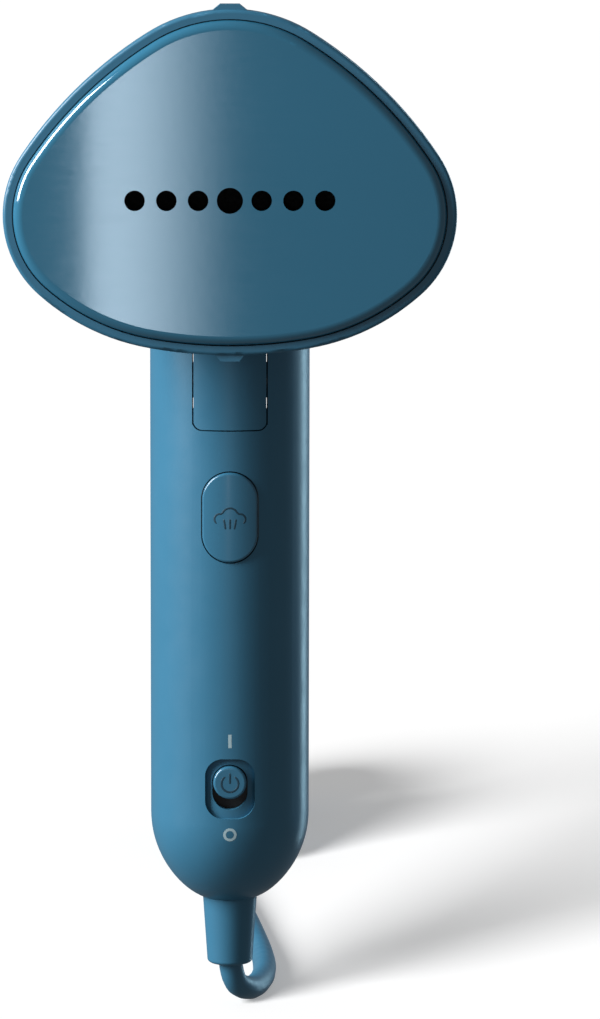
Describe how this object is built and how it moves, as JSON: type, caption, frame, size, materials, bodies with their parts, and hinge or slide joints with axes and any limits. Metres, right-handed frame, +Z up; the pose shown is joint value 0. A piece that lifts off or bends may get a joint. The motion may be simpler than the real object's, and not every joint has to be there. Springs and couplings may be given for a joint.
{
  "type": "garment steamer",
  "caption": "Hand-held folding garment steamer: rounded-triangular steam head with a rear water tank on a straight round handle with a steam button, a power slide and a mains cord.",
  "frame": {"origin": "on the handle's axis, in the middle of the grip, 75 mm above the handle's lower end", "axes": "+Z up along the handle to the head, -Y the way the steam plate faces, +X to the right seen from the front"},
  "size_m": [0.1218, 0.3554, 0.2851],
  "materials": {
    "housing_plastic": "satin teal-blue moulded plastic",
    "handle_plastic": "satin teal-blue moulded plastic",
    "plate_coating": "smooth glossy ceramic-like coating on cast aluminium",
    "button_plastic": "semi-gloss teal-blue moulded plastic",
    "tank_plastic": "tinted translucent moulded plastic",
    "guard_plastic": "satin teal-blue flexible plastic",
    "cord_jacket": "satin teal-blue flexible jacket",
    "mark_ink": "pale grey-blue inlaid print",
    "cast_aluminium": "as-cast",
    "steel": "zinc plated or rolled",
    "spring_steel": "drawn wire or rolled strip",
    "silicone": "matt translucent silicone",
    "dark_plastic": "moulded black plastic",
    "white_plastic": "moulded plain plastic",
    "board_green": "coated glass-fibre laminate",
    "copper_wire": "wound enamelled copper",
    "wire_sleeve": "glass-fibre and silicone sleeve",
    "pin_metal": "nickel plated"
  },
  "bodies": {
    "handle": {"handle_front_shell": "handle_plastic", "handle_rear_shell": "handle_plastic", "handle_screws": "steel", "hinge_pins": "steel", "detent_spring": "spring_steel", "switch_marks": "mark_ink", "button_spring": "spring_steel", "button_bracket": "steel", "micro_switch": "dark_plastic", "power_switch": "dark_plastic", "circuit_board": "board_green", "board_screws": "steel", "board_components": "dark_plastic", "terminal_block": "white_plastic", "handle_harness": "wire_sleeve", "cord_conductors": "copper_wire", "cord_inner_length": "cord_jacket", "cord_clamp": "white_plastic", "cord_clamp_screws": "steel", "cord_guard": "guard_plastic", "power_cord": "cord_jacket", "cord_hank": "cord_jacket", "cord_tie": "dark_plastic", "cord_tail": "cord_jacket", "plug_relief": "guard_plastic", "plug_body": "guard_plastic", "plug_pins": "pin_metal"},
    "head": {"hinge_neck": "handle_plastic", "steam_plate": "plate_coating", "plate_seal": "silicone", "steam_chamber_base": "cast_aluminium", "heating_element": "steel", "chamber_gasket": "silicone", "steam_chamber_cover": "steel", "chamber_screws": "steel", "thermostat": "white_plastic", "thermal_fuse": "steel", "heat_shield": "steel", "head_front_housing": "housing_plastic", "head_rear_cover": "dark_plastic", "head_screws": "steel", "dock_ring": "silicone", "hinge_bushes": "white_plastic", "head_harness": "wire_sleeve", "pump_body": "dark_plastic", "pump_coil": "copper_wire", "pump_spring": "spring_steel", "suction_hose": "silicone", "pressure_hose": "silicone"},
    "tank": {"tank_shell": "tank_plastic", "tank_front": "tank_plastic", "tank_valve": "silicone", "filler_door_pin": "steel"},
    "tank_door": {"filler_door": "housing_plastic", "filler_seal": "silicone"},
    "piston": {"pump_piston": "steel"},
    "button": {"steam_button": "button_plastic", "switch_plunger": "white_plastic"},
    "power_slide": {"power_knob": "button_plastic", "slide_carriage": "dark_plastic"}
  },
  "joints": [
    {"name": "head_fold", "type": "hinge", "parent": "handle", "child": "head", "pos_m": [0, 0, 0.073], "axis": [1, 0, 0], "range_deg": [-90, 0], "deforming": ["detent_spring"]},
    {"name": "tank_pull", "type": "slide", "parent": "head", "child": "tank", "axis": [0, 1, 0], "range_m": [0, 0.06]},
    {"name": "filler_door_turn", "type": "hinge", "parent": "tank", "child": "tank_door", "pos_m": [0, 0.04305, 0.12945], "axis": [-1, 0, 0], "range_deg": [0, 90]},
    {"name": "steam_button_press", "type": "slide", "parent": "handle", "child": "button", "axis": [0, 1, 0], "range_m": [0, 0.0016], "stiffness_N_per_m": 900, "springref_m": -0.0015, "deforming": ["button_spring"]},
    {"name": "power_slide_move", "type": "slide", "parent": "handle", "child": "power_slide", "axis": [0, 0, -1], "range_m": [0, 0.003]},
    {"name": "pump_stroke", "type": "slide", "parent": "head", "child": "piston", "axis": [1, 0, 0], "range_m": [0, 0.003], "stiffness_N_per_m": 400, "springref_m": -0.001, "deforming": ["pump_spring"]}
  ]
}
